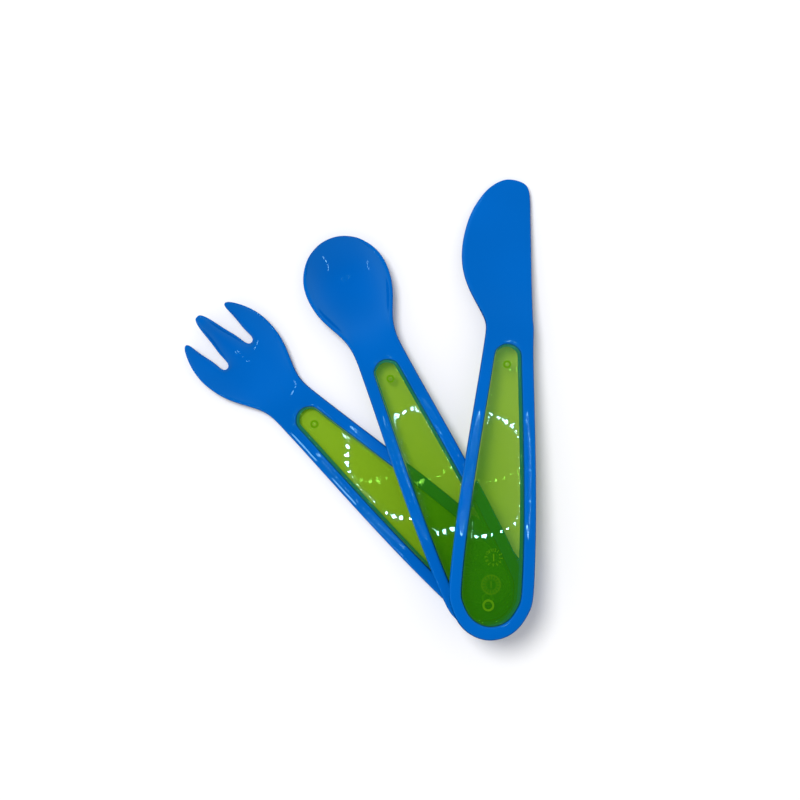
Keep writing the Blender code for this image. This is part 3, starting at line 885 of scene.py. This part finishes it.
def moulded_polypropylene(name):
    """Injection-moulded, mass-coloured polypropylene from a polished mould.

    It gives the eye an even, saturated blue with a wet gloss. The pigment drifts a little along
    the flow, and the skin has the faint waviness of a shrinking moulding.
    """
    finish = settings("finish")
    material, tree = new_material(name)
    spot = add_node(tree, "ShaderNodeTexCoord").outputs["Object"]
    cloud = {"Vector": spot, "Scale": 1 / (PIGMENT_CLOUD * MM), "Detail": 1.0}
    drift = add_node(tree, "ShaderNodeTexNoise", cloud)
    pigment = add_node(tree, "ShaderNodeValToRGB", {"Fac": drift.outputs["Fac"]})
    shades = (finish.body_deep, finish.body)
    for stop, position, shade in zip(pigment.color_ramp.elements, PIGMENT_CHANGE, shades):
        stop.position = position
        stop.color = (*shade, 1)
    cloud = {"Vector": spot, "Scale": 1 / (POLISH_CLOUD * MM), "Detail": 3.0}
    polish = add_node(tree, "ShaderNodeTexNoise", cloud).outputs["Fac"]
    least, most = POLISH_ROUGHNESS
    gloss = {"Value": polish, "To Min": least, "To Max": most}
    surface = {
        "Base Color": pigment.outputs["Color"],
        "Roughness": add_node(tree, "ShaderNodeMapRange", gloss).outputs["Result"],
        "Normal": uneven_skin(tree, spacing=1.6, height=0.01, strength=0.15),
        "IOR": 1.49,
    }
    shader = add_node(tree, "ShaderNodeBsdfPrincipled", surface)
    add_node(tree, "ShaderNodeOutputMaterial", {"Surface": shader.outputs["BSDF"]})
    return material


def moulded_clear_grip(name):
    """Injection-moulded translucent green plastic from a polished mould.

    It gives the eye a yellow-green pane that grows darker where it is thick or lies over another,
    with a little of its own saturated green scattered back. Light that falls through it on what
    lies below isn't bent, and is tinted a little.
    """
    finish = settings("finish")
    material, tree = new_material(name)
    skin = uneven_skin(tree, spacing=2.6, height=0.009, strength=0.3, detail=1.0)
    gloss = {"Roughness": 0.01, "IOR": 1.5, "Normal": skin}
    pane = {**gloss, "Base Color": (1, 1, 1, 1), "Transmission Weight": 1.0}
    clear = add_node(tree, "ShaderNodeBsdfPrincipled", pane)
    cloudy = {**gloss, "Base Color": (*finish.haze, 1)}
    haze = add_node(tree, "ShaderNodeBsdfPrincipled", cloudy)
    mixed = {0: finish.haze_share, 1: clear.outputs["BSDF"], 2: haze.outputs["BSDF"]}
    surface = add_node(tree, "ShaderNodeMixShader", mixed).outputs["Shader"]
    passing = {"Color": (*finish.passing, 1)}
    unbent = add_node(tree, "ShaderNodeBsdfTransparent", passing).outputs["BSDF"]
    rays = add_node(tree, "ShaderNodeLightPath")
    for kind in ("Is Diffuse Ray", "Is Shadow Ray"):
        mixed = {0: rays.outputs[kind], 1: surface, 2: unbent}
        surface = add_node(tree, "ShaderNodeMixShader", mixed).outputs["Shader"]
    depth = {"Color": (*finish.tint, 1), "Density": finish.density}
    volume = add_node(tree, "ShaderNodeVolumeAbsorption", depth).outputs["Volume"]
    add_node(tree, "ShaderNodeOutputMaterial", {"Surface": surface, "Volume": volume})
    return material


def frosted_mark(name, cover):
    """The texture of the mould's date stamps and ejectors, which scatters light.

    It gives the eye a paler green line in the clear grip.
    """
    material, tree = new_material(name)
    surface = {
        "Base Color": (*settings("finish").mark, 1),
        "Roughness": 0.7,
        "Alpha": cover,
        "Normal": uneven_skin(tree, spacing=0.15, height=0.05, strength=0.5),
    }
    shader = add_node(tree, "ShaderNodeBsdfPrincipled", surface)
    add_node(tree, "ShaderNodeOutputMaterial", {"Surface": shader.outputs["BSDF"]})
    return material


def matte_floor(name):
    """Matte white paper, which gives the eye an even ground with soft shadows."""
    material, tree = new_material(name)
    surface = {
        "Base Color": (*settings("studio").floor, 1),
        "Roughness": 0.95,
        "Specular IOR Level": 0.0,
        "Normal": uneven_skin(tree, spacing=0.8, height=0.01, strength=0.1),
    }
    shader = add_node(tree, "ShaderNodeBsdfPrincipled", surface)
    add_node(tree, "ShaderNodeOutputMaterial", {"Surface": shader.outputs["BSDF"]})
    return material


def glowing_lamp(name, strength):
    """A small lamp's cool white glow, which gives the eye a bright point in the gloss."""
    material, tree = new_material(name)
    light = {"Color": (*settings("studio").ring_light, 1), "Strength": strength}
    glow = add_node(tree, "ShaderNodeEmission", light)
    add_node(tree, "ShaderNodeOutputMaterial", {"Surface": glow.outputs["Emission"]})
    return material


def material_named(name, make, *values):
    """A material that several pieces share, made for the first of them."""
    return bpy.data.materials.get(name) or make(name, *values)


def new_object(name, net, *materials):
    """Turn a finished net into an object of the scene."""
    mesh = bpy.data.meshes.new(name)
    net.to_mesh(mesh)
    net.free()
    for material in materials:
        mesh.materials.append(material)
    made = bpy.data.objects.new(name, mesh)
    bpy.context.scene.collection.objects.link(made)
    return made


def pose_of(utensil):
    """A utensil's place in the fan."""
    lying = settings(utensil)
    turned = Matrix.Rotation(lying.turn, 4, "Z") @ Matrix.Rotation(-lying.pitch, 4, "X")
    return Matrix.Translation(lying.butt) @ turned


def add_piece(name, net, materials, utensil):
    """Lay a finished net in the fan as a piece of its own."""
    bmesh.ops.transform(net, matrix=pose_of(utensil), verts=net.verts[:])
    piece = new_object(name, net, *materials)
    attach(piece, "root")
    return piece


def add_smooth_piece(name, net, material, utensil, node):
    """A piece that stands for a node, with its faces divided until its curves are smooth."""
    piece = add_piece(name, net, [material], utensil)
    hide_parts(node)
    levels = settings("handle").smoothing
    piece.data.shade_smooth()
    divided = piece.modifiers.new("smooth", "SUBSURF")
    divided.levels = levels
    divided.render_levels = levels


def add_body(utensil, rows, heights, lip, edge, tines=()):
    """One utensil's body: the handle's rim with the head's rows drawn on from the neck."""
    net, row = handle_net()
    for points in rows:
        row = extruded(net, row, points)
    for start, rows_of_tine in zip((row[:2], row[2:5], row[5:]), tines):
        for points in rows_of_tine:
            start = extruded(net, start, points)
    settle_outlines(net)
    add_edge_row(net, lip)
    lip_row = add_edge_row(net, edge)
    close_shell(net, heights, body_wall(settings(utensil).tongue_shift), lip_row)
    blue = material_named("moulded_blue_polypropylene", moulded_polypropylene)
    name = utensil + "_moulding"
    add_smooth_piece(name, net, blue, utensil, utensil + "_body")


def add_grip(utensil):
    """The translucent piece in a handle's window."""
    net = bmesh.new()
    ring = flat_ring(net, inwards(through(window_loop()), -settings("handle").grip_bite))
    net.faces.new(ring[:-1])
    net.normal_update()
    add_edge_row(net, grip_edge)
    close_shell(net, grip_heights, grip_wall(settings(utensil).tongue_shift))
    green = material_named("moulded_translucent_green", moulded_clear_grip)
    name = utensil + "_window_grip"
    add_smooth_piece(name, net, green, utensil, utensil + "_grip")


def add_flat_ring(net, centre, outer, width):
    """A flat ring, from its outer radius in."""
    ring = bmesh.ops.create_circle(net, segments=RING_POINTS, radius=outer)["verts"]
    points = [vertex.co * (outer - width) / outer for vertex in ring]
    inside = extruded(net, ring + ring[:1], points + points[:1])
    bmesh.ops.translate(net, vec=centre, verts=ring + inside[:-1])


def add_flat_bar(net, centre, turn, width, length):
    """A flat bar, upright before its turn."""
    shape = Matrix.Diagonal((width / 2, length / 2, 1, 1))
    matrix = Matrix.Translation(centre) @ Matrix.Rotation(turn, 4, "Z") @ shape
    bmesh.ops.create_grid(net, x_segments=1, y_segments=1, size=1.0, matrix=matrix)


def add_flat_number(net, value, centre, turn, height):
    """A flat number, upright before its turn."""
    text = bpy.data.curves.new("number", "FONT")
    text.body = str(value)
    text.size = height * FONT_SIZE
    text.align_x = "CENTER"
    text.align_y = "CENTER"
    writing = bpy.data.objects.new("number", text)
    mesh = bpy.data.meshes.new_from_object(writing)
    mesh.transform(Matrix.Translation(centre) @ Matrix.Rotation(turn, 4, "Z"))
    net.from_mesh(mesh)
    bpy.data.meshes.remove(mesh)
    bpy.data.objects.remove(writing)
    bpy.data.curves.remove(text)


def around(centre, radius, share):
    """A point round a dial, clockwise from its top, and the turn that faces outwards there."""
    turn = -math.tau * share
    return Vector(centre) + Vector((-math.sin(turn), math.cos(turn), 0)) * radius, turn


def add_marks(utensil):
    """The rings that the ejectors leave in a grip's underside, and its two date dials."""
    marks, finish = settings("marks"), settings("finish")
    net = bmesh.new()
    add_flat_ring(net, marks.neck_ring, marks.neck_ring_radius, marks.ring_width)
    add_flat_ring(net, marks.butt_ring, marks.butt_ring_radius, marks.ring_width)
    for month in range(1, MONTHS + 1):
        spot, turn = around(marks.month_dial, marks.month_radius, month / MONTHS)
        add_flat_number(net, month, spot, turn, marks.month_height)
    add_flat_bar(net, marks.month_dial, ARROW_TURN, marks.line, marks.arrow)
    crisp = len(net.faces)
    add_flat_bar(net, marks.year_dial, ARROW_TURN, marks.line, marks.arrow)
    rim = marks.year_radius
    for stroke in range(YEAR_STROKES):
        spot, turn = around(marks.year_dial, rim * STROKE_PLACE, stroke / YEAR_STROKES)
        add_flat_bar(net, spot, turn, marks.line, rim * STROKE_LENGTH)
    add_flat_ring(net, marks.year_dial, rim, marks.line)
    net.faces.ensure_lookup_table()
    for face in net.faces[crisp:]:
        face.material_index = 1
    bmesh.ops.solidify(net, geom=net.faces[:], thickness=marks.depth)
    lowest = min(vertex.co.z for vertex in net.verts)
    bmesh.ops.translate(net, vec=(0, 0, marks.cover - lowest), verts=net.verts[:])
    bmesh.ops.recalc_face_normals(net, faces=net.faces[:])
    materials = [
        material_named("frosted_mark", frosted_mark, finish.mark_cover),
        material_named("faint_frosted_mark", frosted_mark, finish.faint_cover),
    ]
    add_piece(utensil + "_grip_marks", net, materials, utensil)


def add_floor():
    """A wide plain floor, just below the pack, which isn't mirrored in it."""
    studio = settings("studio")
    net = bmesh.new()
    bmesh.ops.create_circle(net, cap_ends=True, segments=64, radius=studio.floor_radius)
    bmesh.ops.translate(net, vec=(0, 0, -studio.floor_gap), verts=net.verts[:])
    floor = new_object("floor", net, matte_floor("matte_white_paper"))
    floor.visible_glossy = False


def add_key_softbox():
    """A soft lamp that faces the pack, casts its shadows and isn't mirrored in it."""
    studio = settings("studio")
    lamp = bpy.data.lights.new("key_softbox", "AREA")
    lamp.shape = "DISK"
    lamp.size = studio.key_width
    lamp.energy = studio.key_power
    light = bpy.data.objects.new("key_softbox", lamp)
    light.location = studio.key_lamp
    light.rotation_euler = (-Vector(studio.key_lamp)).to_track_quat("-Z", "Y").to_euler()
    light.visible_glossy = False
    light.visible_transmission = False
    light.visible_camera = False
    bpy.context.scene.collection.objects.link(light)


def ring_of_lamps(name, spot, turn, radius, lamp, angles, glow, lit):
    """Small round lamps on a circle, which only glint in the gloss of the pieces they light."""
    net = bmesh.new()
    for lamp_angle in angles:
        at_lamp = Matrix.Rotation(lamp_angle, 4, "Z") @ Matrix.Translation((radius, 0, 0))
        bmesh.ops.create_circle(net, cap_ends=True, segments=8, radius=lamp / 2, matrix=at_lamp)
    bmesh.ops.reverse_faces(net, faces=[face for face in net.faces if face.normal.z > 0])
    bmesh.ops.transform(net, matrix=Matrix.Translation(spot) @ turn, verts=net.verts[:])
    ring = new_object(name, net, glowing_lamp(name + "_glow", glow))
    ring.visible_camera = False
    ring.visible_diffuse = False
    ring.visible_shadow = False
    under = bpy.data.collections.new("under_" + name)
    for piece in lit:
        under.objects.link(piece)
    ring.light_linking.receiver_collection = under


def add_ring_lamp(utensil, glow, turned, *parts):
    """The ring of lamps over the camera for some parts of one utensil, turned by part of a step.

    A grip's ring and its body's glow differently, and lamps at the same place would hide each
    other, so the lamps of one stand in the gaps of the other.
    """
    studio = settings("studio")
    ring_of_lamps(
        "_".join((utensil, parts[0], "ring_lamp")),
        getattr(studio, utensil + "_ring"),
        Matrix(),
        studio.ring_radius,
        studio.ring_lamp,
        [math.tau * (k + turned) / studio.ring_count for k in range(studio.ring_count)],
        glow,
        [bpy.data.objects[utensil + "_" + part] for part in parts],
    )


def add_lamp_arc(utensil, side, start, scale):
    """An arc of lamps at one side, which leaves specks of light in one utensil's head."""
    studio = settings("studio")
    spot = Vector(getattr(studio, utensil + "_" + side))
    ring_of_lamps(
        utensil + "_" + side + "_lamps",
        spot,
        (-spot).to_track_quat("-Z", "Y").to_matrix().to_4x4(),
        studio.arc_radius * scale,
        studio.arc_lamp * scale,
        [math.radians(start) + k * studio.arc_step for k in range(studio.arc_count)],
        studio.arc_glow,
        [bpy.data.objects[utensil + "_moulding"]],
    )


def add_tent():
    """A light tent that lights the pack evenly, and is mirrored pale below and darker above."""
    studio = settings("studio")
    world = bpy.data.worlds.new("light_tent")
    world.use_nodes = True
    tree = world.node_tree
    tree.nodes.clear()
    direction = add_node(tree, "ShaderNodeTexCoord").outputs["Generated"]
    height = add_node(tree, "ShaderNodeSeparateXYZ", {"Vector": direction}).outputs["Z"]
    share = add_node(tree, "ShaderNodeMapRange", {"Value": height, "From Min": -1.0})
    walls = add_node(tree, "ShaderNodeValToRGB", {"Fac": share.outputs["Result"]})
    pale = (*(studio.tent_wall * part for part in studio.tent), 1)
    horizon, wall_foot, wall_top = TENT_LEVELS
    stops = walls.color_ramp.elements
    stops[0].position = horizon
    stops[0].color = (0, 0, 0, 1)
    stops[1].color = (*(studio.tent_top * part for part in studio.tent), 1)
    stops.new(wall_foot).color = pale
    stops.new(wall_top).color = pale
    mirrored_tent = add_node(tree, "ShaderNodeBackground", {"Color": walls.outputs["Color"]})
    white = {"Color": (1, 1, 1, 1), "Strength": studio.fill}
    even = add_node(tree, "ShaderNodeBackground", white)
    rays = add_node(tree, "ShaderNodeLightPath")
    mixed = {
        0: rays.outputs["Is Glossy Ray"],
        1: even.outputs["Background"],
        2: mirrored_tent.outputs["Background"],
    }
    seen = add_node(tree, "ShaderNodeMixShader", mixed)
    add_node(tree, "ShaderNodeOutputWorld", {"Surface": seen.outputs["Shader"]})
    bpy.context.scene.world = world


def add_camera():
    """A camera that looks straight down, as in the picture."""
    studio = settings("studio")
    data = bpy.data.cameras.new("camera")
    data.sensor_width = 36.0
    data.lens = data.sensor_width * studio.camera[2] / studio.view_width
    data.clip_start = 0.01
    camera = bpy.data.objects.new("camera", data)
    camera.location = studio.camera
    bpy.context.scene.collection.objects.link(camera)
    bpy.context.scene.camera = camera


class CUTLERY_OT_knife(Operator):
    """Model the knife's body."""

    bl_idname = "cutlery.knife"
    bl_label = "Knife body"

    def execute(self, context):
        add_body("knife", knife_rows(), knife_heights, head_lip, head_edge)
        return {"FINISHED"}


class CUTLERY_OT_spoon(Operator):
    """Model the spoon's body."""

    bl_idname = "cutlery.spoon"
    bl_label = "Spoon body"

    def execute(self, context):
        add_body("spoon", spoon_rows(), spoon_heights, head_lip, head_edge)
        return {"FINISHED"}


class CUTLERY_OT_fork(Operator):
    """Model the fork's body."""

    bl_idname = "cutlery.fork"
    bl_label = "Fork body"

    def execute(self, context):
        add_body("fork", fork_rows(), fork_heights, fork_lip, fork_edge, tine_rows())
        return {"FINISHED"}


class CUTLERY_OT_grips(Operator):
    """Model the three translucent grips."""

    bl_idname = "cutlery.grips"
    bl_label = "Grips"

    def execute(self, context):
        for utensil in UTENSILS:
            add_grip(utensil)
        return {"FINISHED"}


class CUTLERY_OT_marks(Operator):
    """Model the marks of the mould in the three grips."""

    bl_idname = "cutlery.marks"
    bl_label = "Mould marks"

    def execute(self, context):
        for utensil in UTENSILS:
            add_marks(utensil)
        return {"FINISHED"}


class CUTLERY_OT_stage(Operator):
    """Set up the floor, the lamps and the camera."""

    bl_idname = "cutlery.stage"
    bl_label = "Stage"

    def execute(self, context):
        add_floor()
        add_camera()
        add_key_softbox()
        add_tent()
        studio = settings("studio")
        for utensil in UTENSILS:
            add_ring_lamp(utensil, studio.ring_glow, 0, "window_grip", "grip_marks")
            add_ring_lamp(utensil, getattr(studio, utensil + "_rim_glow"), 0.5, "moulding")
        for arc in LAMP_ARCS:
            add_lamp_arc(*arc)
        context.scene.view_settings.view_transform = "Standard"
        return {"FINISHED"}


GROUPS = {
    "handle": CutleryHandle,
    "knife": CutleryKnife,
    "spoon": CutlerySpoon,
    "fork": CutleryFork,
    "marks": CutleryMarks,
    "finish": CutleryFinish,
    "studio": CutleryStudio,
}
OPERATORS = (
    CUTLERY_OT_knife,
    CUTLERY_OT_spoon,
    CUTLERY_OT_fork,
    CUTLERY_OT_grips,
    CUTLERY_OT_marks,
    CUTLERY_OT_stage,
)


class CUTLERY_PT_panel(Panel):
    """The operators, and the sizes and colours that they read."""

    bl_label = "Cutlery"
    bl_space_type = "VIEW_3D"
    bl_region_type = "UI"
    bl_category = "Cutlery"

    def draw(self, context):
        for operator in OPERATORS:
            self.layout.operator(operator.bl_idname)
        for name, group in GROUPS.items():
            box = self.layout.box()
            box.label(text=name.capitalize())
            for field in group.__annotations__:
                box.prop(settings(name), field)


def register():
    """Register the classes, and hang each group on the scene."""
    for item in (*GROUPS.values(), *OPERATORS, CUTLERY_PT_panel):
        bpy.utils.register_class(item)
    for name, group in GROUPS.items():
        setattr(bpy.types.Scene, "cutlery_" + name, PointerProperty(type=group))


def unregister():
    """Undo what register did."""
    for name in GROUPS:
        delattr(bpy.types.Scene, "cutlery_" + name)
    for item in (CUTLERY_PT_panel, *OPERATORS, *GROUPS.values()):
        bpy.utils.unregister_class(item)


def main():
    """Model the whole pack and its stage."""
    register()
    bpy.ops.cutlery.knife()
    bpy.ops.cutlery.spoon()
    bpy.ops.cutlery.fork()
    bpy.ops.cutlery.grips()
    bpy.ops.cutlery.marks()
    bpy.ops.cutlery.stage()


if __name__ == "__main__":
    main()
